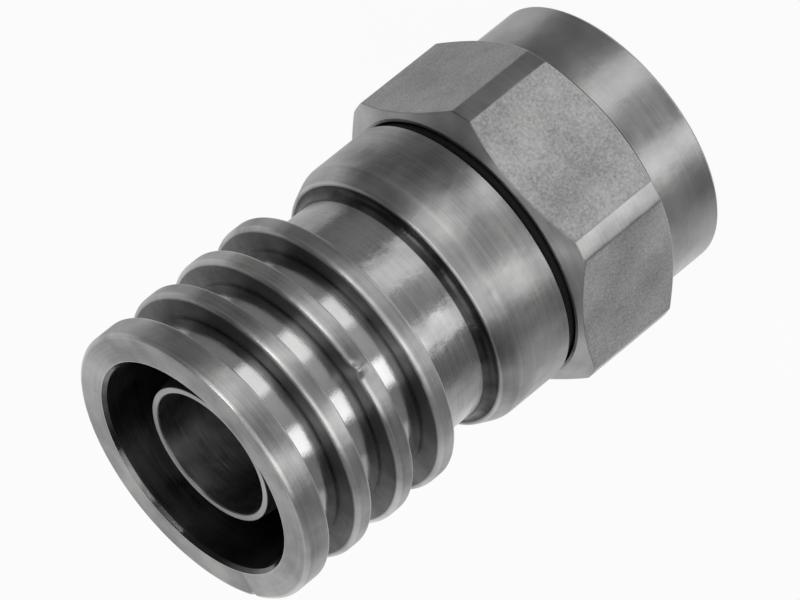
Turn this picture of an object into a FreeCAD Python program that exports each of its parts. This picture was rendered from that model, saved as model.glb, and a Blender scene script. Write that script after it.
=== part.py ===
import FreeCAD, Part
import math
import os
import Sketcher

# Crimp-on F connector, cable side up. The origin is the centre of the coupling
# nut's mouth face. +Z runs along the connector's axis, out of the cable entry.

doc = FreeCAD.newDocument("f_connector")


# Driving dimensions in millimetres. Lengths run along the axis.
DRIVING_SIZES = [
    # coupling nut
    ("thread_diameter", 9.525, "3/8-32 thread, across its roots"),
    ("thread_length", 4.75, "mouth face to the end of the thread"),
    ("mouth_chamfer", 0.25, "lead-in of the thread"),
    ("collar_wall", 0.5375, "wall of the collar round the thread"),
    ("collar_length", 2.45, "mouth face to the foot of the hexagon"),
    ("collar_chamfer", 0.12, "outer edge of the mouth face"),
    ("flat_rise", 0.2, "flats of the hexagon above the collar, 11 mm apart for the wrench"),
    ("corner_rise", 0.62, "turned corners of the hexagon above its flats"),
    ("hex_chamfer_angle", 30.0, "slope of the turned cones at both ends of the hexagon, in degrees"),
    ("relief_depth", 0.1875, "room behind the thread, deeper than its roots"),
    ("lip_thickness", 0.7, "inward lip that holds the nut on the body"),
    ("rear_ring", 0.14, "width of the rear face round the seal ring's recess"),
    ("running_clearance", 0.05, "radial clearance of the lip on its journal"),
    ("seal_clearance", 0.08, "seal ring to the wall of its recess"),
    ("seal_end_clearance", 0.1, "seal ring to the bottom of its recess"),
    # crimp body
    ("seal_gap", 0.4, "nut's rear face to the body's front face"),
    ("shoulder_length", 2.35, "plain cylinder behind the nut"),
    ("bevel_length", 0.7, "bevel behind that cylinder"),
    ("bevel_round", 0.12, "rounded edge at the small end of the bevel"),
    ("neck_step", 0.5, "step from the bevel down to the neck"),
    ("neck_length", 2.65, "bevel to sleeve"),
    ("neck_fillet", 0.4, "hollow corner of the neck at the bevel"),
    ("land_rise", 0.12, "lands of the ribbed sleeve above the cylinder"),
    ("sleeve_wall", 1.22, "wall of the sleeve under its lands"),
    ("neck_wall", 0.3, "wall of the neck round the inner end of the sleeve's bore"),
    ("bore_overrun", 0.3, "reach of the sleeve's bore into the neck"),
    ("bore_chamfer", 0.12, "inner edge of the rim"),
    ("land_round", 0.22, "rounded edge of a land on the cable's side"),
    ("rim_land_length", 1.1, "rim to the first groove"),
    ("groove_length", 1.3, "flat floor of a groove, at the neck's diameter"),
    ("groove_pitch", 2.0, "one groove to the next"),
    ("journal_wall", 0.67, "spigot that the nut turns on, round the post"),
    ("lip_front_play", 0.15, "nut's lip to the post's flange"),
    ("lip_rear_play", 0.05, "nut's lip to the seal seat"),
    ("seat_depth", 1.0, "drop from the plain cylinder to the seal seat"),
    # post
    ("post_bore", 4.94, "inside of the tube, round the cable's dielectric"),
    ("post_wall", 0.26, "wall of the tube"),
    ("post_recess", 0.82, "rim to the tip of the post"),
    ("flange_clearance", 0.5125, "flange to the roots of the thread"),
    ("flange_thickness", 0.7, "flange that holds the nut"),
    ("flange_setback", 0.3, "end of the thread to the flange"),
    ("barb_height", 0.15, "step of the barb above the tube"),
    ("barb_length", 1.1, "tip of the post to the barb's step"),
    ("tip_chamfer", 0.06, "inner edge of the post's tip"),
    # seal ring
    ("seal_section", 0.8, "thickness of the ring's round section"),
]

GROOVE_COUNT = 3

sizes = doc.addObject("Spreadsheet::Sheet", "sizes")
for row, (alias, value, note) in enumerate(DRIVING_SIZES, start=1):
    sizes.set(f"A{row}", alias)
    sizes.set(f"B{row}", str(value))
    sizes.setAlias(f"B{row}", alias)
    sizes.set(f"C{row}", note)
doc.recompute()


# Diameters, as formulas of the driving dimensions. The body's plain cylinder is as
# wide as the nut's collar.
BARREL = "(sizes.thread_diameter + 2 * sizes.collar_wall)"
FLATS = f"({BARREL} + 2 * sizes.flat_rise)"
CORNERS = f"({FLATS} + 2 * sizes.corner_rise)"
RELIEF = "(sizes.thread_diameter + 2 * sizes.relief_depth)"
SEAL_SEAT = f"({BARREL} - 2 * sizes.seat_depth)"
SEAL_RECESS = f"({SEAL_SEAT} + 2 * sizes.seal_section + 2 * sizes.seal_clearance)"
REAR_FACE = f"({SEAL_RECESS} + 2 * sizes.rear_ring)"
POST = "(sizes.post_bore + 2 * sizes.post_wall)"
JOURNAL = f"({POST} + 2 * sizes.journal_wall)"
LIP_BORE = f"({JOURNAL} + 2 * sizes.running_clearance)"
FLANGE = "(sizes.thread_diameter - 2 * sizes.flange_clearance)"
LANDS = f"({BARREL} + 2 * sizes.land_rise)"
SLEEVE_BORE = f"({LANDS} - 2 * sizes.sleeve_wall)"
NECK = f"({SLEEVE_BORE} + 2 * sizes.neck_wall)"
BEVEL = f"({NECK} + 2 * sizes.neck_step)"

# Heights along the axis, from the nut's mouth to the rim of the sleeve.
LOWEST = "0"
FLANGE_FACE = "(sizes.thread_length + sizes.flange_setback)"
SPIGOT_END = f"({FLANGE_FACE} + sizes.flange_thickness)"
LIP_FRONT = f"({SPIGOT_END} + sizes.lip_front_play)"
LIP_REAR = f"({LIP_FRONT} + sizes.lip_thickness)"
SEAL_STEP = f"({LIP_REAR} + sizes.lip_rear_play)"
BODY_FACE = f"({LIP_REAR} + sizes.seal_end_clearance + sizes.seal_section)"
NUT_REAR = f"({BODY_FACE} - sizes.seal_gap)"
BEVEL_START = f"({BODY_FACE} + sizes.shoulder_length)"
NECK_START = f"({BEVEL_START} + sizes.bevel_length)"
SLEEVE_START = f"({NECK_START} + sizes.neck_length)"
SLEEVE_FLOOR = f"({SLEEVE_START} - sizes.bore_overrun)"
RIM = f"({SLEEVE_START} + sizes.rim_land_length + {GROOVE_COUNT} * sizes.groove_pitch)"
GROOVE_TOP = f"({RIM} - sizes.rim_land_length)"
GROOVE_FOOT = f"({GROOVE_TOP} - sizes.groove_length)"
POST_TIP = f"({RIM} - sizes.post_recess)"

ROOT = (-1, 1)
HORIZONTAL_AXIS = -1
UP = FreeCAD.Vector(0, 0, 1)
MIDDLE = FreeCAD.Vector(0, 0, 0)


def value_of(formula):
    return float(sizes.evalExpression(formula))


def origin_plane(body, role):
    """The body's own origin plane with this role."""
    for feature in body.Origin.OriginFeatures:
        if feature.Role == role:
            return feature
    raise ValueError(role)


def new_body(name):
    body = doc.addObject("PartDesign::Body", name)
    body.Label = name
    return body


def new_sketch(body, name, role):
    sketch = body.newObject("Sketcher::SketchObject", name)
    sketch.AttachmentSupport = (origin_plane(body, role), [""])
    sketch.MapMode = "FlatFace"
    return sketch


def constrain(sketch, formula, *parts):
    """Adds a constraint whose value follows a formula, if it has one."""
    index = sketch.addConstraint(Sketcher.Constraint(*parts))
    if formula is not None:
        sketch.setExpression(f"Constraints[{index}]", formula)


def half_section(body, name, corners):
    """A closed outline of straight edges, whose named corners are (diameter, height)."""
    sketch = new_sketch(body, name, "XZ_Plane")
    places = {}
    for corner, (diameter, height) in corners.items():
        places[corner] = FreeCAD.Vector(value_of(diameter) / 2, value_of(height), 0)
    points = list(places.values())
    count = len(points)
    for i in range(count):
        sketch.addGeometry(Part.LineSegment(points[i], points[(i + 1) % count]), False)
    for i in range(count):
        constrain(sketch, None, "Coincident", i, 2, (i + 1) % count, 1)
    for i, (diameter, height) in enumerate(corners.values()):
        constrain(sketch, f"{diameter} / 2", "DistanceX", *ROOT, i, 1, points[i].x)
        if height == LOWEST:
            constrain(sketch, None, "PointOnObject", i, 1, HORIZONTAL_AXIS)
        else:
            constrain(sketch, height, "DistanceY", *ROOT, i, 1, points[i].y)
    return sketch, places


def revolve(body, sketch, name):
    turned = body.newObject("PartDesign::Revolution", name)
    turned.Profile = sketch
    turned.ReferenceAxis = (sketch, ["V_Axis"])
    turned.Angle = 360
    doc.recompute()
    return turned


def dress(body, kind, name, base, places, size_property, formula):
    """A fillet or chamfer on the circles that corners of a half section have drawn."""
    edges = []
    for number, edge in enumerate(base.Shape.Edges, start=1):
        if not isinstance(edge.Curve, Part.Circle):
            continue
        found = FreeCAD.Vector(edge.Curve.Radius, edge.Curve.Center.z, 0)
        if min(found.distanceToPoint(place) for place in places) < 1e-5:
            edges.append(f"Edge{number}")
    if len(edges) < len(places):
        raise ValueError(f"{name}: {len(edges)} edges for {len(places)} corners")
    feature = body.newObject(kind, name)
    feature.Base = (base, edges)
    feature.setExpression(size_property, formula)
    doc.recompute()
    body.Tip = feature
    return feature


# Coupling nut: turned from hexagonal bar, bored and tapped from the mouth, with an
# inward lip that runs on the body's spigot and a recess for the seal ring behind it.
nut = new_body("coupling_nut")
cone = "tan(sizes.hex_chamfer_angle * 1 deg)"
front_cone = f"({CORNERS} - {BARREL}) / 2 * {cone}"
rear_cone = f"({CORNERS} - {REAR_FACE}) / 2 * {cone}"
nut_section, nut_place = half_section(nut, "nut_section", {
    "lead_in": ("(sizes.thread_diameter + 2 * sizes.mouth_chamfer)", LOWEST),
    "mouth_edge": (BARREL, LOWEST),
    "collar_end": (BARREL, "sizes.collar_length"),
    "front_corner": (CORNERS, f"sizes.collar_length + {front_cone}"),
    "rear_corner": (CORNERS, f"{NUT_REAR} - {rear_cone}"),
    "rear_edge": (REAR_FACE, NUT_REAR),
    "recess_mouth": (SEAL_RECESS, NUT_REAR),
    "recess_bottom": (SEAL_RECESS, LIP_REAR),
    "lip_rear": (LIP_BORE, LIP_REAR),
    "lip_front": (LIP_BORE, LIP_FRONT),
    "relief_rear": (RELIEF, LIP_FRONT),
    "relief_front": (RELIEF, "sizes.thread_length"),
    "thread_end": ("sizes.thread_diameter", "sizes.thread_length"),
    "thread_start": ("sizes.thread_diameter", "sizes.mouth_chamfer"),
})
nut_blank = revolve(nut, nut_section, "nut_blank")

# The six flats are what a hexagonal frame round the blank leaves standing.
flats = new_sketch(nut, "hexagon", "XY_Plane")
flats.setExpression("AttachmentOffset.Base.z", "sizes.collar_length")
blank_radius = nut_place["front_corner"].x
for i in range(6):
    start = math.radians(60 * i)
    stop = math.radians(60 * (i + 1))
    flats.addGeometry(Part.LineSegment(
        FreeCAD.Vector(blank_radius * math.cos(start), blank_radius * math.sin(start), 0),
        FreeCAD.Vector(blank_radius * math.cos(stop), blank_radius * math.sin(stop), 0)), False)
corner_circle = flats.addGeometry(Part.Circle(MIDDLE, UP, blank_radius), True)
frame_circle = flats.addGeometry(Part.Circle(MIDDLE, UP, 2 * blank_radius), False)
for i in range(6):
    constrain(flats, None, "Coincident", i, 2, (i + 1) % 6, 1)
    constrain(flats, None, "PointOnObject", i, 1, corner_circle)
for i in range(1, 6):
    constrain(flats, None, "Equal", 0, i)
constrain(flats, None, "PointOnObject", 0, 1, HORIZONTAL_AXIS)
constrain(flats, None, "Coincident", corner_circle, 3, *ROOT)
constrain(flats, None, "Coincident", frame_circle, 3, *ROOT)
constrain(flats, f"{FLATS} / sqrt(3)", "Radius", corner_circle, blank_radius)
constrain(flats, CORNERS, "Radius", frame_circle, 2 * blank_radius)

nut_flats = nut.newObject("PartDesign::Pocket", "nut_flats")
nut_flats.Profile = flats
nut_flats.Type = "ThroughAll"
nut_flats.Reversed = True
doc.recompute()
if nut_flats.Shape.Volume >= nut_blank.Shape.Volume:
    raise ValueError("the flats cut nothing")
dress(nut, "PartDesign::Chamfer", "mouth_edge_chamfer", nut_flats, [nut_place["mouth_edge"]],
      "Size", "sizes.collar_chamfer")


# Crimp body: one turned piece. The spigot and the seal seat are inside the nut,
# then come the plain cylinder, the bevel, the neck and the ribbed sleeve round the cable.
crimp = new_body("crimp_body")
crimp_section, crimp_place = half_section(crimp, "body_section", {
    "spigot_bore": (POST, SPIGOT_END),
    "spigot_end": (JOURNAL, SPIGOT_END),
    "journal_end": (JOURNAL, SEAL_STEP),
    "seat_start": (SEAL_SEAT, SEAL_STEP),
    "seat_end": (SEAL_SEAT, BODY_FACE),
    "front_edge": (BARREL, BODY_FACE),
    "bevel_start": (BARREL, BEVEL_START),
    "bevel_end": (BEVEL, NECK_START),
    "neck_start": (NECK, NECK_START),
    "neck_end": (NECK, SLEEVE_START),
    "sleeve_start": (LANDS, SLEEVE_START),
    "rim": (LANDS, RIM),
    "rim_bore": (SLEEVE_BORE, RIM),
    "sleeve_floor": (SLEEVE_BORE, SLEEVE_FLOOR),
    "floor_bore": (POST, SLEEVE_FLOOR),
})
crimp_blank = revolve(crimp, crimp_section, "body_blank")

# The cutter of a groove reaches past the lands by the wall of the sleeve.
CUTTER = f"({LANDS} + 2 * sizes.sleeve_wall)"
groove_section, groove_place = half_section(crimp, "groove_section", {
    "floor_foot": (NECK, GROOVE_FOOT),
    "cutter_foot": (CUTTER, GROOVE_FOOT),
    "cutter_top": (CUTTER, GROOVE_TOP),
    "floor_top": (NECK, GROOVE_TOP),
})
groove = crimp.newObject("PartDesign::Groove", "sleeve_groove")
groove.Profile = groove_section
groove.ReferenceAxis = (groove_section, ["V_Axis"])
groove.Angle = 360
doc.recompute()
if groove.Shape.Volume >= crimp_blank.Shape.Volume:
    raise ValueError("the groove cuts nothing")

grooves = crimp.newObject("PartDesign::LinearPattern", "sleeve_grooves")
grooves.Originals = [groove]
grooves.Direction = (groove_section, ["V_Axis"])
grooves.Reversed = True
grooves.Occurrences = GROOVE_COUNT
grooves.setExpression("Length", f"sizes.groove_pitch * {GROOVE_COUNT - 1}")
crimp.Tip = grooves
doc.recompute()

first_land_edge = FreeCAD.Vector(crimp_place["rim"].x, groove_place["floor_foot"].y, 0)
pitch = FreeCAD.Vector(0, value_of("sizes.groove_pitch"), 0)
land_edges = [first_land_edge - pitch * number for number in range(GROOVE_COUNT)]
land_rounding = dress(crimp, "PartDesign::Fillet", "land_rounding", grooves,
                      [crimp_place["rim"], *land_edges], "Radius", "sizes.land_round")
neck_hollow = dress(crimp, "PartDesign::Fillet", "neck_hollow", land_rounding,
                    [crimp_place["neck_start"]], "Radius", "min(sizes.neck_fillet; 0.8 * sizes.neck_step)")
bevel_rounding = dress(crimp, "PartDesign::Fillet", "bevel_rounding", neck_hollow,
                       [crimp_place["bevel_end"]], "Radius", "sizes.bevel_round")
dress(crimp, "PartDesign::Chamfer", "rim_bore_edge", bevel_rounding,
      [crimp_place["rim_bore"]], "Size", "sizes.bore_chamfer")


# Post: a thin turned tube pressed into the body. Its flange traps the nut's lip, and
# the barb at its tip holds the cable's braid.
post = new_body("post")
post_section, post_place = half_section(post, "post_section", {
    "flange_bore": ("sizes.post_bore", FLANGE_FACE),
    "flange_face": (FLANGE, FLANGE_FACE),
    "flange_back": (FLANGE, SPIGOT_END),
    "tube_start": (POST, SPIGOT_END),
    "barb_foot": (POST, f"{POST_TIP} - sizes.barb_length"),
    "barb_step": (f"({POST} + 2 * sizes.barb_height)", f"{POST_TIP} - sizes.barb_length"),
    "tip": (POST, POST_TIP),
    "tip_bore": ("sizes.post_bore", POST_TIP),
})
post_tube = revolve(post, post_section, "post_tube")
dress(post, "PartDesign::Chamfer", "post_tip_edge", post_tube, [post_place["tip_bore"]],
      "Size", "sizes.tip_chamfer")


# Seal ring: a rubber ring on the seat, between the body's face and the nut.
seal = doc.addObject("Part::Torus", "seal_ring")
seal.Label = "seal_ring"
seal.setExpression("Radius1", f"({SEAL_SEAT} + sizes.seal_section) / 2")
seal.setExpression("Radius2", "sizes.seal_section / 2")
seal.setExpression("Placement.Base.z", f"{BODY_FACE} - sizes.seal_section / 2")


doc.recompute()
pieces = [nut, crimp, post, seal]
for item in doc.Objects:
    if "Invalid" in item.State or "Error" in item.State:
        raise ValueError(f"{item.Label} failed: {item.State}")
for piece in pieces:
    if piece.Shape.isNull() or not piece.Shape.isValid():
        raise ValueError(f"{piece.Label} has no valid shape")
    if len(piece.Shape.Solids) != 1:
        raise ValueError(f"{piece.Label} is not one solid")

os.makedirs("parts", exist_ok=True)
for piece in pieces:
    piece.Shape.exportStep(f"parts/{piece.Label}.step")
    box = piece.Shape.BoundBox
    print(f"{piece.Label}: {piece.Shape.Volume:.3f} mm3, height {box.ZMin:.3f} to {box.ZMax:.3f}")
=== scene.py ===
import math

import bpy
import numpy as np
from mathutils import Matrix, Vector


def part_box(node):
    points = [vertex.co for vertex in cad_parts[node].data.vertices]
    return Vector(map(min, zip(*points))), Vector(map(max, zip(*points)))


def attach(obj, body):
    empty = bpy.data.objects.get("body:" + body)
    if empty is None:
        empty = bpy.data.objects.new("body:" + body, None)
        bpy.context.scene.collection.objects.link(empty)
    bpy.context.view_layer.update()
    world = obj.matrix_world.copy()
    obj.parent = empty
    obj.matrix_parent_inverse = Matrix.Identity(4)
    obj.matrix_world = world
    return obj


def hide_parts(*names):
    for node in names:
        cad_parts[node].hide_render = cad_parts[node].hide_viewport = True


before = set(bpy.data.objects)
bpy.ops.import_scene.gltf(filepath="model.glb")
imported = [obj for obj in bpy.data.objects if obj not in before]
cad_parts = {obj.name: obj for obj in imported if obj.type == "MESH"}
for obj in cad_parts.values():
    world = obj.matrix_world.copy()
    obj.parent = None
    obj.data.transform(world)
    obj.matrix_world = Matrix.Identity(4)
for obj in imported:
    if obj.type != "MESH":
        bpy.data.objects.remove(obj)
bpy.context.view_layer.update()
mm = 0.001


# Crimp body: one piece of nickel-plated brass, turned on a lathe. A ribbed sleeve takes
# the cable, and a hollow neck, a bevel and a plain cylinder lead to the seal seat and the
# spigot, which are inside the nut.
body_foot, body_rim = (corner.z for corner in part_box("crimp_body"))
spigot_radius = 3.40 * mm
seat_radius = 4.30 * mm
seat_start = body_foot + 0.90 * mm
body_face = body_foot + 1.75 * mm
barrel_radius = 5.30 * mm
land_radius = 5.42 * mm
land_round = 0.18 * mm
groove_count = 3
first_groove = body_rim - 1.10 * mm
groove_length = 1.30 * mm
groove_pitch = 2.00 * mm
# Width of the painted shade at the foot of each groove's wall.
shade_band_width = 0.14 * mm
sleeve_start = body_rim - 7.10 * mm
sleeve_bore = 4.20 * mm
rim_chamfer = 0.14 * mm
chamfer_reach = 1.5 * rim_chamfer
sleeve_floor = body_rim - 7.40 * mm
neck_radius = 4.50 * mm
bevel_start = body_face + 2.35 * mm
bevel_end = bevel_start + 0.70 * mm
bevel_radius = 5.00 * mm
post_radius = 2.73 * mm
widest_rubbed_highlight = 0.22 * mm
guard_share = 0.1
corner_steps = 6
# Painted shade: how dark the foot of each groove's wall is made.
groove_wall_painted_shade = -0.75
# Painted shade: how dark the rim's inner chamfer is made.
chamfer_painted_shade = -0.9


def unit(vectors):
    """Each vector divided by its own length."""
    return vectors / np.maximum(np.linalg.norm(vectors, axis=-1, keepdims=True), 1e-12)


def rounded(corners, radii):
    """Outline with its corners rounded, and an edge value for each of its points: towards 1 on the
    outer edges, which are rubbed and painted bright as highlights, and -1 in the inner corners,
    which are painted dark as shade. Outer roundings wider than the widest rubbed and lit edge get
    less, in proportion to that width over the radius.

    At corner P with unit directions a and b to its neighbours and half angle h between them,
    the arc's centre is P + r / sin(h) along a + b, and it starts r / tan(h) from P. Each arc
    turns evenly from one side to the other, and a point beyond each end keeps the side flat.
    """
    corners = np.asarray(corners, dtype=float)
    radii = np.asarray(radii, dtype=float)
    back = unit(np.roll(corners, 1, axis=-2) - corners)
    ahead = unit(np.roll(corners, -1, axis=-2) - corners)
    half = np.arccos(np.clip(np.sum(back * ahead, axis=-1), -1, 1)) / 2
    outer = (back[..., 0] * ahead[..., 1] - back[..., 1] * ahead[..., 0] < 0)[..., None]
    reach = radii / np.tan(half)
    centre = corners + unit(back + ahead) * (radii / np.sin(half))[..., None]
    start = corners + back * reach[..., None] - centre
    stop = corners + ahead * reach[..., None] - centre
    turn = np.maximum(math.pi - 2 * half, 1e-9)[..., None]
    share = np.linspace(0, 1, corner_steps + 1)
    arc = (centre[..., None, :]
           + (np.sin((1 - share) * turn) / np.sin(turn))[..., None] * start[..., None, :]
           + (np.sin(share * turn) / np.sin(turn))[..., None] * stop[..., None, :])
    guard = guard_share * radii[..., None]
    before = corners + back * (reach[..., None] + guard)
    beyond = corners + ahead * (reach[..., None] + guard)
    points = np.concatenate([before[..., None, :], arc, beyond[..., None, :]], axis=-2)
    # Outer arcs carry rubbed wear with a painted highlight; inner arcs carry painted shade.
    sharpness = np.clip(widest_rubbed_highlight / np.maximum(radii, 1e-9), 0, 1)[..., None]
    rubbed_highlight = np.sqrt(np.sin(math.pi * share)) * sharpness
    arc_edge = np.broadcast_to(np.where(outer, rubbed_highlight, -1), (*corners.shape[:-1], corner_steps + 1))
    edge = np.pad(arc_edge, [(0, 0)] * (corners.ndim - 1) + [(1, 1)])
    kept = np.repeat((radii > 0)[:, None], corner_steps + 3, axis=1)
    kept[:, 0] = True
    kept = kept.reshape(-1)
    flat = (*corners.shape[:-2], -1)
    edge = (edge * (radii > 0)[:, None]).reshape(flat)
    return points.reshape(*flat, 2)[..., kept, :], edge[..., kept]


def turned_mesh(name, angle, radius, height, edge):
    """A closed section carried round the axis: x = r cos(angle), y = r sin(angle), z = height.

    Radius, height and edge are one row for each angle, or one row for them all.
    """
    columns, rows = len(angle), np.shape(radius)[-1]
    radius, height, edge = (np.broadcast_to(a, (columns, rows)) for a in (radius, height, edge))
    around = angle[:, None]
    points = np.stack([radius * np.cos(around), radius * np.sin(around), height], axis=-1)
    i, j = np.meshgrid(np.arange(columns), np.arange(rows), indexing="ij")
    next_i, next_j = (i + 1) % columns, (j + 1) % rows
    faces = np.stack([i * rows + j, next_i * rows + j, next_i * rows + next_j, i * rows + next_j], axis=-1)
    mesh = bpy.data.meshes.new(name)
    mesh.from_pydata(points.reshape(-1, 3), [], faces.reshape(-1, 4))
    mesh.polygons.foreach_set("use_smooth", np.ones(columns * rows, dtype=bool))
    # The edge values go on as an attribute: above 0 rubbed wear with a painted highlight, below 0 painted
    # shade.
    wear_and_painted_light = mesh.attributes.new("rubbed_highlight_corner_shade", "FLOAT", "POINT")
    wear_and_painted_light.data.foreach_set("value", np.ascontiguousarray(edge, dtype=np.float32).reshape(-1))
    piece = bpy.data.objects.new(name, mesh)
    bpy.context.scene.collection.objects.link(piece)
    return piece


body_corners = [
    ((post_radius, body_foot), 0.02 * mm),
    ((spigot_radius, body_foot), 0.05 * mm),
    ((spigot_radius, seat_start), 0),
    ((seat_radius, seat_start), 0.05 * mm),
    ((seat_radius, body_face), 0.03 * mm),
    ((barrel_radius, body_face), 0.05 * mm),
    ((barrel_radius, bevel_start), 0.60 * mm),
    ((bevel_radius, bevel_end), 0.12 * mm),
    ((neck_radius, bevel_end), 0.36 * mm),
    ((neck_radius, sleeve_start), 0.10 * mm),
    ((land_radius, sleeve_start), 0.12 * mm),
]
for number in reversed(range(groove_count)):
    groove_top = first_groove - number * groove_pitch
    body_corners += [
        ((land_radius, groove_top - groove_length), land_round),
        ((neck_radius, groove_top - groove_length), 0.03 * mm),
        ((neck_radius, groove_top - groove_length + shade_band_width), 0),
        ((neck_radius, groove_top), 0.06 * mm),
        ((land_radius, groove_top), 0.12 * mm),
    ]
body_corners += [
    ((land_radius, body_rim), land_round),
    ((sleeve_bore + rim_chamfer, body_rim), 0.03 * mm),
    ((sleeve_bore, body_rim - rim_chamfer), 0.03 * mm),
    ((sleeve_bore, sleeve_floor), 0.20 * mm),
    ((post_radius, sleeve_floor), 0.02 * mm),
]
body_outline, body_edge = rounded([place for place, radius in body_corners],
                                  [radius for place, radius in body_corners])
# The foot of each groove's wall is painted dark as shade.
for number in range(groove_count):
    foot = first_groove - number * groove_pitch - groove_length
    by_foot = np.abs(body_outline[:, 1] - foot) < shade_band_width / 2
    by_foot &= body_outline[:, 0] < land_radius - land_round
    body_edge[by_foot] = np.minimum(body_edge[by_foot], groove_wall_painted_shade)
# The rim's inner chamfer is painted dark as shade.
on_chamfer = body_outline[:, 1] > body_rim - chamfer_reach
on_chamfer &= body_outline[:, 0] < sleeve_bore + rim_chamfer
body_edge[on_chamfer] = chamfer_painted_shade

# Handling marks: a burr thrown up on the edge of the third ring and a nick in the rim.
burr_angle = math.radians(-104.8)
burr_height = body_rim - 4.42 * mm
burr_rise = 0.20 * mm
burr_width = 0.25 * mm
nick_angle = math.radians(-215)
nick_depth = 0.06 * mm
nick_width = 0.12 * mm
marked_radius = neck_radius + 0.1 * mm
whole_turn = 2 * math.pi
close_by = np.linspace(-0.1, 0.1, 25)
around_body = np.unique(np.round(np.concatenate([
    np.linspace(0, whole_turn, 288, endpoint=False), (burr_angle + close_by) % whole_turn,
    (nick_angle + close_by) % whole_turn]), 5))


def nearness(angle, height, width):
    """1 at a place on the lands, falling off round it as exp(-(distance / width) squared)."""
    aside = (around_body[:, None] - angle + math.pi) % whole_turn - math.pi
    fall = (aside * land_radius / width) ** 2 + ((body_outline[:, 1] - height) / width) ** 2
    return np.exp(-fall) * (body_outline[:, 0] > marked_radius)


near_burr = nearness(burr_angle, burr_height, burr_width)
near_nick = nearness(nick_angle, body_rim, nick_width)
# The burr's place is added to the edge values, so it is painted bright as a rubbed edge highlight.
crimp_body = turned_mesh("ribbed_crimp_body", around_body,
                         body_outline[:, 0] + burr_rise * near_burr - nick_depth * near_nick,
                         body_outline[:, 1] - nick_depth * near_nick,
                         np.clip(body_edge + near_burr, -1, 1))


def node(material, kind, **settings):
    """A new shader node with its properties set."""
    made = material.node_tree.nodes.new(kind)
    for name, value in settings.items():
        setattr(made, name, value)
    return made


def feed(material, socket, source):
    """Puts a number, a colour or another node's output into a socket."""
    if isinstance(source, bpy.types.NodeSocket):
        material.node_tree.links.new(source, socket)
    else:
        socket.default_value = source


def calculate(material, operation, first, second):
    """The result of one sum on two numbers."""
    made = node(material, "ShaderNodeMath", operation=operation)
    feed(material, made.inputs[0], first)
    feed(material, made.inputs[1], second)
    return made.outputs[0]


def cloud(material, vector, scale, detail):
    """Noise between 0 and 1 whose patches are about 1 / scale metres across."""
    made = node(material, "ShaderNodeTexNoise")
    feed(material, made.inputs["Vector"], vector)
    made.inputs["Scale"].default_value = scale
    made.inputs["Detail"].default_value = detail
    return made.outputs["Fac"]


def between(material, amount, low, high, from_low=0.3, from_high=0.7):
    """A number that runs from low to high as the amount goes over its usual range."""
    made = node(material, "ShaderNodeMapRange")
    feed(material, made.inputs["Value"], amount)
    made.inputs["From Min"].default_value = from_low
    made.inputs["From Max"].default_value = from_high
    made.inputs["To Min"].default_value = low
    made.inputs["To Max"].default_value = high
    return made.outputs["Result"]


def blend_colour(material, amount, first, second):
    """The first colour where the amount is 0 and the second where it is 1."""
    made = node(material, "ShaderNodeMix", data_type="RGBA")
    feed(material, made.inputs["Factor"], amount)
    feed(material, made.inputs["A"], first)
    feed(material, made.inputs["B"], second)
    return made.outputs["Result"]


def bump(material, height, depth, under=None):
    """Relief of the given depth in metres, laid over the relief under it."""
    made = node(material, "ShaderNodeBump")
    feed(material, made.inputs["Height"], height)
    made.inputs["Distance"].default_value = depth
    made.inputs["Strength"].default_value = 1
    if under is not None:
        feed(material, made.inputs["Normal"], under)
    return made.outputs["Normal"]


def turning_marks(material, place, fineness):
    """Noise that hardly changes round the axis: it reads the direction from the axis slowly,
    and the height plus the distance from the axis quickly."""
    apart = node(material, "ShaderNodeSeparateXYZ")
    feed(material, apart.inputs[0], place)
    level = node(material, "ShaderNodeCombineXYZ")
    feed(material, level.inputs["X"], apart.outputs["X"])
    feed(material, level.inputs["Y"], apart.outputs["Y"])
    distance = node(material, "ShaderNodeVectorMath", operation="LENGTH")
    feed(material, distance.inputs[0], level.outputs[0])
    direction = node(material, "ShaderNodeVectorMath", operation="NORMALIZE")
    feed(material, direction.inputs[0], level.outputs[0])
    along = calculate(material, "ADD", apart.outputs["Z"], distance.outputs["Value"])
    lift = node(material, "ShaderNodeCombineXYZ")
    feed(material, lift.inputs["Z"], calculate(material, "MULTIPLY", along, fineness))
    total = node(material, "ShaderNodeVectorMath", operation="ADD")
    feed(material, total.inputs[0], direction.outputs[0])
    feed(material, total.inputs[1], lift.outputs[0])
    return cloud(material, total.outputs[0], 1.6, 3)


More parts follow.
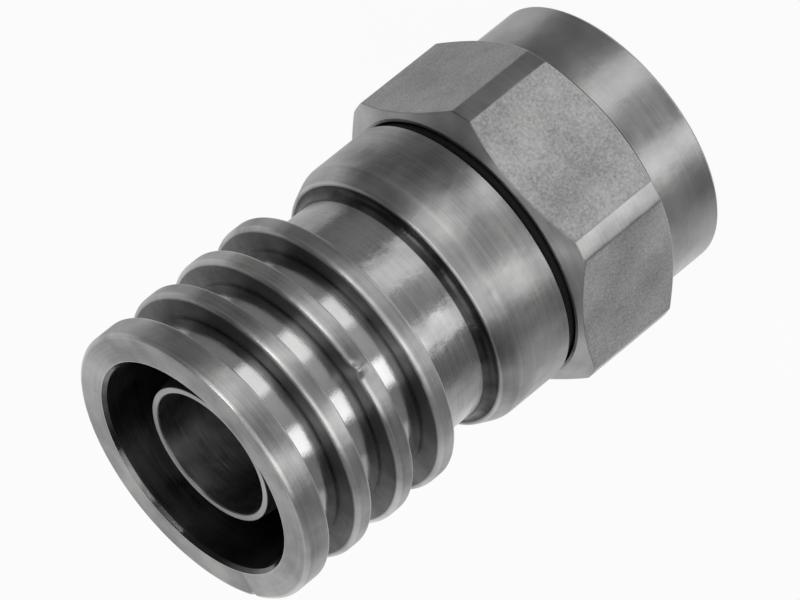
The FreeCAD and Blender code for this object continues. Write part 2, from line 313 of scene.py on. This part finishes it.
def turned_nickel(name, dull, bright, rubbed_highlight_colour, smooth, rough, mark_depth, cloud_depth):
    """Nickel plate over a turned surface: fine rings round the axis that stretch the
    reflections along it, dull and bright patches, edges that are rubbed and painted
    bright as highlights, and inner corners that are painted near black as shade."""
    material = bpy.data.materials.new(name)
    material.use_nodes = True
    shader = material.node_tree.nodes["Principled BSDF"]
    place = node(material, "ShaderNodeTexCoord").outputs["Object"]
    patches = cloud(material, place, 800, 4)
    blotches = cloud(material, place, 420, 5)
    marks = turning_marks(material, place, 9000)
    grain = cloud(material, place, 14000, 2)
    edge_wear_light_shade = node(material, "ShaderNodeAttribute", attribute_name="rubbed_highlight_corner_shade").outputs["Fac"]
    # Painted highlight: edges go towards the rubbed highlight colour, more strongly where the blotches are
    # high.
    rubbed_highlight = calculate(material, "MULTIPLY", between(material, edge_wear_light_shade, 0, 1, from_low=0.1, from_high=0.9),
                       between(material, blotches, 0.25, 1.0))
    mottle = calculate(material, "ADD", calculate(material, "MULTIPLY", blotches, 0.78),
                       calculate(material, "MULTIPLY", marks, 0.22))
    plate = blend_colour(material, between(material, mottle, 0, 1, from_low=0.37, from_high=0.63),
                         (*dull, 1), (*bright, 1))
    wear_and_painted_light = blend_colour(material, rubbed_highlight, plate, (*rubbed_highlight_colour, 1))
    # Painted shade: inner corners go towards near black, a little less on some patches.
    painted_shade = calculate(material, "MULTIPLY", between(material, edge_wear_light_shade, 0, 1, from_low=0, from_high=-1),
                     between(material, patches, 0.8, 1.0))
    feed(material, shader.inputs["Base Color"], blend_colour(material, painted_shade, wear_and_painted_light, (0.03, 0.03, 0.03, 1)))
    shader.inputs["Metallic"].default_value = 1
    feed(material, shader.inputs["Roughness"],
         calculate(material, "ADD", between(material, patches, smooth, rough),
                   between(material, marks, -0.03, 0.05)))
    shader.inputs["Anisotropic"].default_value = 0.75
    shader.inputs["Anisotropic Rotation"].default_value = 0.25
    tangent = node(material, "ShaderNodeTangent", direction_type="RADIAL", axis="Z")
    feed(material, shader.inputs["Tangent"], tangent.outputs[0])
    relief = bump(material, patches, cloud_depth)
    relief = bump(material, blotches, 2 * cloud_depth, relief)
    relief = bump(material, marks, mark_depth, relief)
    feed(material, shader.inputs["Normal"], bump(material, grain, 1.5e-6, relief))
    return material


body_metal = turned_nickel("body_nickel", dull=(0.27, 0.27, 0.27), bright=(0.56, 0.56, 0.555),
                           rubbed_highlight_colour=(0.76, 0.76, 0.75), smooth=0.30, rough=0.46,
                           mark_depth=2.4e-6, cloud_depth=16e-6)
neck_metal = turned_nickel("neck_nickel", dull=(0.34, 0.34, 0.34), bright=(0.60, 0.60, 0.595),
                           rubbed_highlight_colour=(0.75, 0.75, 0.74), smooth=0.17, rough=0.33,
                           mark_depth=1.4e-6, cloud_depth=28e-6)
# The groove floors are smoother, and their lighter copy of the nickel paints their reflections brighter.
groove_metal_painted_light = turned_nickel("groove_nickel_painted_light", dull=(0.58, 0.58, 0.58), bright=(0.70, 0.70, 0.695),
                             rubbed_highlight_colour=(0.75, 0.75, 0.74), smooth=0.08, rough=0.17,
                             mark_depth=0.8e-6, cloud_depth=8e-6)
# Painted shade: a darker copy of the nickel for the bores and hollows.
shaded_inner_metal = turned_nickel("inner_nickel_painted_shade", dull=(0.17, 0.17, 0.17), bright=(0.34, 0.34, 0.34),
                            rubbed_highlight_colour=(0.3, 0.3, 0.3), smooth=0.26, rough=0.46,
                            mark_depth=3e-6, cloud_depth=20e-6)
for material in (body_metal, neck_metal, groove_metal_painted_light, shaded_inner_metal):
    crimp_body.data.materials.append(material)
# Each side between two rows is given its finish by where its outer end and its foot lie.
neck_hollow_rise = 0.30 * mm
bore_edge_rise = 0.03 * mm
hair = 0.001 * mm
next_radius, next_height = np.roll(body_outline, -1, axis=0).T
side_radius = np.maximum(body_outline[:, 0], next_radius)
side_height = np.minimum(body_outline[:, 1], next_height)
on_neck = (side_height > bevel_end - hair) & (side_radius < neck_radius + neck_hollow_rise)
on_groove_floor = (side_height > sleeve_start) & (side_radius < neck_radius + hair)
# The sleeve's bore and floor take the darker nickel as painted shade.
in_bore = (side_height > sleeve_floor - hair) & (side_radius < sleeve_bore + bore_edge_rise)
body_finish = np.zeros(len(body_outline), dtype=np.int32)
body_finish[on_neck] = 1
body_finish[on_groove_floor] = 2
body_finish[in_bore] = 3
crimp_body.data.polygons.foreach_set("material_index", np.tile(body_finish, len(around_body)))
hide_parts("crimp_body")
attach(crimp_body, "connector")


# Post: a thin turned tube of nickel-plated brass, pressed into the body. Its tip is the
# light ring in the cable entry, a low barb behind it holds the braid, and its flange in
# the nut keeps the nut on.
post_foot, post_tip = (corner.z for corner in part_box("post"))
post_bore = 2.47 * mm
flange_radius = 4.25 * mm
flange_back = post_foot + 0.70 * mm
barb_foot = post_tip - 1.10 * mm
barb_radius = 2.88 * mm
post_rubbed_highlight = 0.2
tip_band = 0.008 * mm

post_corners = [
    ((post_bore, post_foot), 0.06 * mm),
    ((flange_radius, post_foot), 0.08 * mm),
    ((flange_radius, flange_back), 0.08 * mm),
    ((post_radius, flange_back), 0),
    ((post_radius, barb_foot), 0),
    ((barb_radius, barb_foot), 0.02 * mm),
    ((post_radius, post_tip), 0.04 * mm),
    ((post_bore, post_tip), 0.06 * mm),
]
post_outline, post_edge = rounded([place for place, radius in post_corners],
                                  [radius for place, radius in post_corners])
around_post = np.linspace(0, whole_turn, 160, endpoint=False)
# The post's edges get a fifth of the rubbed wear and painted highlight.
post = turned_mesh("centre_post", around_post, post_outline[:, 0], post_outline[:, 1],
                   post_rubbed_highlight * post_edge)
post_metal = turned_nickel("post_nickel", dull=(0.42, 0.42, 0.41), bright=(0.52, 0.52, 0.51),
                           rubbed_highlight_colour=(0.78, 0.77, 0.75), smooth=0.28, rough=0.42,
                           mark_depth=1.5e-6, cloud_depth=6e-6)
post.data.materials.append(post_metal)
post.data.materials.append(shaded_inner_metal)
next_height = np.roll(post_outline[:, 1], -1)
tip_rows = np.minimum(post_outline[:, 1], next_height) > post_tip - tip_band
flange_rows = np.maximum(post_outline[:, 1], next_height) < flange_back + hair
# The post's bore and outer wall take the darker nickel as painted shade; tip and flange keep the plain
# plate.
post_finish = np.ones(len(post_outline), dtype=np.int32)
post_finish[tip_rows | flange_rows] = 0
post.data.polygons.foreach_set("material_index", np.tile(post_finish, len(around_post)))
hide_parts("post")
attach(post, "connector")


# Seal ring: a black rubber ring of round section, stretched over the body's seal seat and
# squeezed a little by the nut. It shows as the black line behind the nut.
ring_low, ring_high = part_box("seal_ring")
ring_section = (ring_high.z - ring_low.z) / 2
ring_radius = (ring_high.x - ring_low.x) / 2 - ring_section
ring_height = (ring_high.z + ring_low.z) / 2

round_section = np.linspace(0, whole_turn, 32, endpoint=False)
around_ring = np.linspace(0, whole_turn, 192, endpoint=False)
seal_ring = turned_mesh("rubber_seal_ring", around_ring,
                        ring_radius + ring_section * np.cos(round_section),
                        ring_height + ring_section * np.sin(round_section),
                        np.zeros(len(round_section)))
rubber = bpy.data.materials.new("seal_rubber")
rubber.use_nodes = True
rubber_shader = rubber.node_tree.nodes["Principled BSDF"]
rubber_place = node(rubber, "ShaderNodeTexCoord").outputs["Object"]
rubber_dust = cloud(rubber, rubber_place, 5000, 4)
rubber_black = blend_colour(rubber, between(rubber, rubber_dust, 0, 1), (0.004, 0.004, 0.004, 1),
                            (0.010, 0.010, 0.010, 1))
feed(rubber, rubber_shader.inputs["Base Color"], rubber_black)
rubber_shader.inputs["Specular IOR Level"].default_value = 0.2
feed(rubber, rubber_shader.inputs["Roughness"], between(rubber, rubber_dust, 0.45, 0.7))
feed(rubber, rubber_shader.inputs["Normal"], bump(rubber, rubber_dust, 4e-6))
seal_ring.data.materials.append(rubber)
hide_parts("seal_ring")
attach(seal_ring, "connector")


# Coupling nut: turned from hexagonal brass bar, tapped 3/8-32 from the mouth and nickel
# plated. The flats keep the bar's drawn skin, and collar, corners, cones and rear face are
# turned. It runs loose on the body's spigot.
nut_mouth, nut_rear = (corner.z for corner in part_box("coupling_nut"))
half_flats = 5.50 * mm
corner_radius = 6.12 * mm
corner_softness = 0.015 * mm
rear_edge_painted_shade = -0.25
collar_radius = 5.30 * mm
collar_length = 2.45 * mm
collar_chamfer = 0.12 * mm
rear_face_radius = 5.32 * mm
cone_slope = math.tan(math.radians(30))
seal_recess = 5.18 * mm
lip_rear = nut_rear - 0.50 * mm
lip_front = lip_rear - 0.70 * mm
lip_bore = 3.45 * mm
relief_radius = 4.95 * mm
thread_root = 4.7625 * mm
thread_pitch = 25.4 / 32 * mm
thread_length = 4.75 * mm
thread_runout = 0.06 * mm
ridge_height = 0.541 * thread_pitch
ridge_half_foot = 0.4375
ridge_flank = 0.3125
mouth_radius = thread_root + 0.25 * mm

# Columns lie close together where a flat meets the turned corner beside it.
to_flat = np.degrees(np.arccos(half_flats / corner_radius))
dense_reach, dense_margin = 1.2, 1.6
sector = np.concatenate([np.linspace(0, to_flat - dense_margin, 11),
                         to_flat + np.linspace(-dense_reach, dense_reach, 9),
                         np.linspace(to_flat + dense_margin, 30, 4)])
sector = np.concatenate([-sector[:0:-1], sector[:-1]])
around_nut = np.radians((sector[None, :] + 30 + 60 * np.arange(6)[:, None]).reshape(-1))


def bar_radius(angle):
    """Distance from the axis to the turned hexagon: the lesser of half_flats / cos(angle from
    the flat's middle) and the corners' radius, with a soft minimum where they meet."""
    from_middle = (np.degrees(angle) % 60) - 30
    hexagon = half_flats / np.cos(np.radians(from_middle))
    gap = (hexagon - corner_radius) / corner_softness
    return corner_radius - corner_softness * np.logaddexp(0, -gap)


def thread_radius(angle, height):
    """Inner radius of the right-hand thread. Its ridge is a sixty-degree trapezium. Where a
    point lies on the pitch is height / pitch - angle / one turn, less its whole part, and the
    ridge's middle lies at a half. Foot and flank are shares of the pitch as well.
    """
    phase = (height / thread_pitch - angle / whole_turn) % 1
    from_ridge = np.abs(phase - 0.5)
    ridge = np.clip((ridge_half_foot - from_ridge) / ridge_flank, 0, 1) * ridge_height
    return np.maximum(thread_root - ridge, mouth_radius - (height - nut_mouth))


bar = bar_radius(around_nut)
nut_corners = [
    (mouth_radius, nut_mouth, 0.03 * mm),
    (collar_radius - collar_chamfer, nut_mouth, 0.04 * mm),
    (collar_radius, nut_mouth + collar_chamfer, 0.06 * mm),
    (collar_radius, collar_length, 0.04 * mm),
    (bar, collar_length + (bar - collar_radius) * cone_slope, 0.06 * mm),
    (bar, nut_rear - (bar - rear_face_radius) * cone_slope, 0.06 * mm),
    (rear_face_radius, nut_rear, 0.03 * mm),
    (seal_recess, nut_rear, 0.03 * mm),
    (seal_recess, lip_rear, 0),
    (lip_bore, lip_rear, 0.04 * mm),
    (lip_bore, lip_front, 0.04 * mm),
    (relief_radius, lip_front, 0.05 * mm),
    (relief_radius, thread_length, 0),
]
nut_places = np.stack([np.stack(np.broadcast_arrays(radius + 0 * bar, height), axis=-1)
                       for radius, height, softness in nut_corners], axis=1)
nut_outline, nut_edge = rounded(nut_places, [softness for radius, height, softness in nut_corners])

# A rounded corner takes several rows of the outline and a sharp one takes one row.
hexagon_front, hexagon_rear, recess_edge, lip_front_edge = 4, 5, 7, 10
corner_rows = corner_steps + 3
half_corner = corner_rows // 2
rows_used = [corner_rows if softness > 0 else 1 for radius, height, softness in nut_corners]
first_row = np.concatenate([[0], np.cumsum(rows_used)])
# The hexagon's rear edges are painted dark as shade instead of rubbed bright.
nut_edge[:, first_row[hexagon_rear]:first_row[hexagon_rear + 1]] *= rear_edge_painted_shade
flat_rows = slice(first_row[hexagon_front] + half_corner, first_row[hexagon_rear] + half_corner + 1)
recess_rows = slice(first_row[recess_edge] + half_corner, first_row[lip_front_edge] + half_corner)

thread_height = np.linspace(thread_length, nut_mouth + thread_runout, 96)
thread_rows = np.stack([thread_radius(around_nut[:, None], thread_height[None, :]),
                        np.broadcast_to(thread_height, (len(bar), len(thread_height)))], axis=-1)
nut_outline = np.concatenate([nut_outline, thread_rows], axis=1)
nut_edge = np.concatenate([nut_edge, np.zeros(thread_rows.shape[:2])], axis=1)
nut = turned_mesh("hexagon_coupling_nut", around_nut, nut_outline[:, :, 0], nut_outline[:, :, 1], nut_edge)

nut_metal = turned_nickel("nut_turned_nickel", dull=(0.36, 0.36, 0.36), bright=(0.56, 0.56, 0.555),
                          rubbed_highlight_colour=(0.72, 0.72, 0.71), smooth=0.26, rough=0.44,
                          mark_depth=3e-6, cloud_depth=14e-6)


def drawn_nickel(name):
    """Nickel plate over the drawn skin of the bar: matt, even and finely grained."""
    material = bpy.data.materials.new(name)
    material.use_nodes = True
    shader = material.node_tree.nodes["Principled BSDF"]
    place = node(material, "ShaderNodeTexCoord").outputs["Object"]
    patches = cloud(material, place, 500, 4)
    grain = cloud(material, place, 11000, 3)
    edge_wear_light_shade = node(material, "ShaderNodeAttribute", attribute_name="rubbed_highlight_corner_shade").outputs["Fac"]
    mottle = calculate(material, "ADD", calculate(material, "MULTIPLY", patches, 0.5),
                       calculate(material, "MULTIPLY", grain, 0.5))
    plate = blend_colour(material, between(material, mottle, 0, 1, from_low=0.36, from_high=0.64),
                         (0.34, 0.34, 0.34, 1), (0.66, 0.66, 0.655, 1))
    # Painted highlight on the edges and painted shade in the corners and on the rear edges, read from the
    # edge values.
    wear_and_painted_light = blend_colour(material, between(material, edge_wear_light_shade, 0, 0.8, from_low=0, from_high=1), plate,
                        (0.72, 0.72, 0.71, 1))
    painted_shade = between(material, edge_wear_light_shade, 0, 1, from_low=0, from_high=-1)
    feed(material, shader.inputs["Base Color"], blend_colour(material, painted_shade, wear_and_painted_light, (0.03, 0.03, 0.03, 1)))
    shader.inputs["Metallic"].default_value = 1
    feed(material, shader.inputs["Roughness"], between(material, mottle, 0.42, 0.6))
    relief = bump(material, patches, 10e-6)
    feed(material, shader.inputs["Normal"], bump(material, grain, 7e-6, relief))
    return material


nut_flats = drawn_nickel("nut_drawn_nickel")
nut.data.materials.append(nut_metal)
nut.data.materials.append(nut_flats)
nut.data.materials.append(shaded_inner_metal)
beside_seam = 0.05
on_flat = np.abs((np.degrees(around_nut) + beside_seam) % 60 - 30) < to_flat
finish = np.zeros((len(around_nut), nut_outline.shape[1]), dtype=np.int32)
finish[on_flat, flat_rows] = 1
# The seal recess and the lip take the darker nickel as painted shade.
finish[:, recess_rows] = 2
nut.data.polygons.foreach_set("material_index", finish.reshape(-1))
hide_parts("coupling_nut")
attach(nut, "nut")


# Studio: the part stands on its mouth on a pale floor that stays out of its reflections.
# The room has a bright panel to the left and to the right of the camera, dark cards beside
# them, and softer light beyond the part.
floor_mesh = bpy.data.meshes.new("floor")
floor_reach = 3.0
floor_gap = 0.01 * mm
floor_corners = np.array([[-1, -1, 0], [1, -1, 0], [1, 1, 0], [-1, 1, 0]]) * floor_reach
floor_corners[:, 2] = nut_mouth - floor_gap
floor_mesh.from_pydata(floor_corners, [], [(0, 1, 2, 3)])
floor = bpy.data.objects.new("floor", floor_mesh)
bpy.context.scene.collection.objects.link(floor)
floor.visible_glossy = False
floor.visible_diffuse = False
floor.visible_shadow = False
floor_paper = bpy.data.materials.new("floor_paper")
floor_paper.use_nodes = True
floor_nodes = floor_paper.node_tree.nodes
floor_nodes.clear()
paper_diffuse = node(floor_paper, "ShaderNodeBsdfDiffuse")
paper_diffuse.inputs["Color"].default_value = (0.8, 0.8, 0.8, 1)
paper_glow = node(floor_paper, "ShaderNodeEmission")
paper_glow.inputs["Strength"].default_value = 1.0
paper_mix = node(floor_paper, "ShaderNodeMixShader")
paper_mix.inputs["Fac"].default_value = 0.94
feed(floor_paper, paper_mix.inputs[1], paper_diffuse.outputs[0])
feed(floor_paper, paper_mix.inputs[2], paper_glow.outputs[0])
paper_below = node(floor_paper, "ShaderNodeBsdfTransparent")
paper_side = node(floor_paper, "ShaderNodeMixShader")
paper_face = node(floor_paper, "ShaderNodeNewGeometry")
feed(floor_paper, paper_side.inputs["Fac"], paper_face.outputs["Backfacing"])
feed(floor_paper, paper_side.inputs[1], paper_mix.outputs[0])
feed(floor_paper, paper_side.inputs[2], paper_below.outputs[0])
paper_out = node(floor_paper, "ShaderNodeOutputMaterial")
feed(floor_paper, paper_out.inputs["Surface"], paper_side.outputs[0])
floor_mesh.materials.append(floor_paper)

# Brightness of the room by compass direction, in degrees from +X.
room_levels = [
    (-180, 0.22), (-152, 0.21), (-145, 1.42), (-125, 1.42), (-119, 0.35), (-88, 0.42),
    (-82, 1.05), (-57, 1.00), (-50, 0.24), (-15, 0.20), (8, 0.15), (18, 0.55), (60, 0.66), (90, 0.90),
    (115, 0.80), (145, 0.58), (167, 0.46), (174, 0.21), (180, 0.21),
]
world = bpy.data.worlds.new("room")
world.use_nodes = True
bpy.context.scene.world = world
world_nodes = world.node_tree.nodes
world_nodes.clear()
look = node(world, "ShaderNodeSeparateXYZ")
feed(world, look.inputs[0], node(world, "ShaderNodeTexCoord").outputs["Generated"])
compass = calculate(world, "ARCTAN2", look.outputs["Y"], look.outputs["X"])
turn_share = calculate(world, "ADD", calculate(world, "DIVIDE", compass, whole_turn), 0.5)
room_ramp = node(world, "ShaderNodeValToRGB")
feed(world, room_ramp.inputs["Fac"], turn_share)
stops = room_ramp.color_ramp.elements
for number, (direction, brightness) in enumerate(room_levels):
    share = direction / 360 + 0.5
    # A new ramp has two stops already.
    if number < 2:
        stop = stops[number]
        stop.position = share
    else:
        stop = stops.new(share)
    stop.color = (brightness, brightness, brightness, 1)
# Above the horizon the room is darker on the camera's side.
above = between(world, look.outputs["Z"], 1, 0.30, from_low=0.25, from_high=0.50)
beyond = between(world, look.outputs["Y"], 0.30, 0.80, from_low=0.15, from_high=0.55)
room_light = node(world, "ShaderNodeBackground")
feed(world, room_light.inputs["Color"], room_ramp.outputs["Color"])
feed(world, room_light.inputs["Strength"], calculate(world, "MAXIMUM", above, beyond))
backdrop_white = node(world, "ShaderNodeBackground")
backdrop_white.inputs["Color"].default_value = (1, 1, 1, 1)
world_mix = node(world, "ShaderNodeMixShader")
feed(world, world_mix.inputs["Fac"], node(world, "ShaderNodeLightPath").outputs["Is Camera Ray"])
feed(world, world_mix.inputs[1], room_light.outputs[0])
feed(world, world_mix.inputs[2], backdrop_white.outputs[0])
world_out = node(world, "ShaderNodeOutputWorld")
feed(world, world_out.inputs["Surface"], world_mix.outputs[0])


lamp_distance = 0.5
lamp_target = Vector((0, 0, 10 * mm))


def soft_lamp(name, azimuth, elevation, power, side):
    """A square lamp that faces the part. Azimuth is in degrees from +X."""
    turn, rise = math.radians(azimuth), math.radians(elevation)
    away = Vector((math.cos(turn) * math.cos(rise), math.sin(turn) * math.cos(rise), math.sin(rise)))
    lamp = bpy.data.lights.new(name, "AREA")
    lamp.energy = power
    lamp.size = side
    holder = bpy.data.objects.new(name, lamp)
    holder.location = lamp_target + away * lamp_distance
    holder.rotation_mode = "QUATERNION"
    holder.rotation_quaternion = away.to_track_quat("Z", "Y")
    bpy.context.scene.collection.objects.link(holder)


soft_lamp("left_softbox", azimuth=-132, elevation=50, power=0.56, side=0.36)
soft_lamp("right_softbox", azimuth=-64, elevation=50, power=0.36, side=0.2)


# Camera: a long lens that looks at the rim from the cable side, rolled so that the part
# runs from the lower left to the upper right. The rim's centre has its place in the picture.
camera_azimuth = math.radians(-5.32)
camera_elevation = math.radians(26.46)
camera_roll = math.radians(-128.94)
picture_width = 800
picture_height = 600
focal_pixels = 8000
rim_distance = 267.9 * mm
rim_column = 192.15
rim_row = 468.6

behind = Vector((math.sin(camera_azimuth) * math.cos(camera_elevation),
                 -math.cos(camera_azimuth) * math.cos(camera_elevation), math.sin(camera_elevation)))
level_right = Vector((math.cos(camera_azimuth), math.sin(camera_azimuth), 0))
level_up = behind.cross(level_right)
right = level_right * math.cos(camera_roll) + level_up * math.sin(camera_roll)
up = level_up * math.cos(camera_roll) - level_right * math.sin(camera_roll)
rim_right = (rim_column - picture_width / 2) / focal_pixels * rim_distance
rim_up = (picture_height / 2 - rim_row) / focal_pixels * rim_distance
camera_place = Vector((0, 0, body_rim)) + behind * rim_distance - right * rim_right - up * rim_up

camera_data = bpy.data.cameras.new("camera")
camera_data.sensor_width = 36
camera_data.lens = focal_pixels / picture_width * camera_data.sensor_width
camera_data.clip_start = 0.01
camera_data.clip_end = 20
camera = bpy.data.objects.new("camera", camera_data)
camera.matrix_world = Matrix.Translation(camera_place) @ Matrix((right, up, behind)).transposed().to_4x4()
bpy.context.scene.collection.objects.link(camera)
bpy.context.scene.camera = camera
bpy.context.scene.view_settings.view_transform = "Standard"
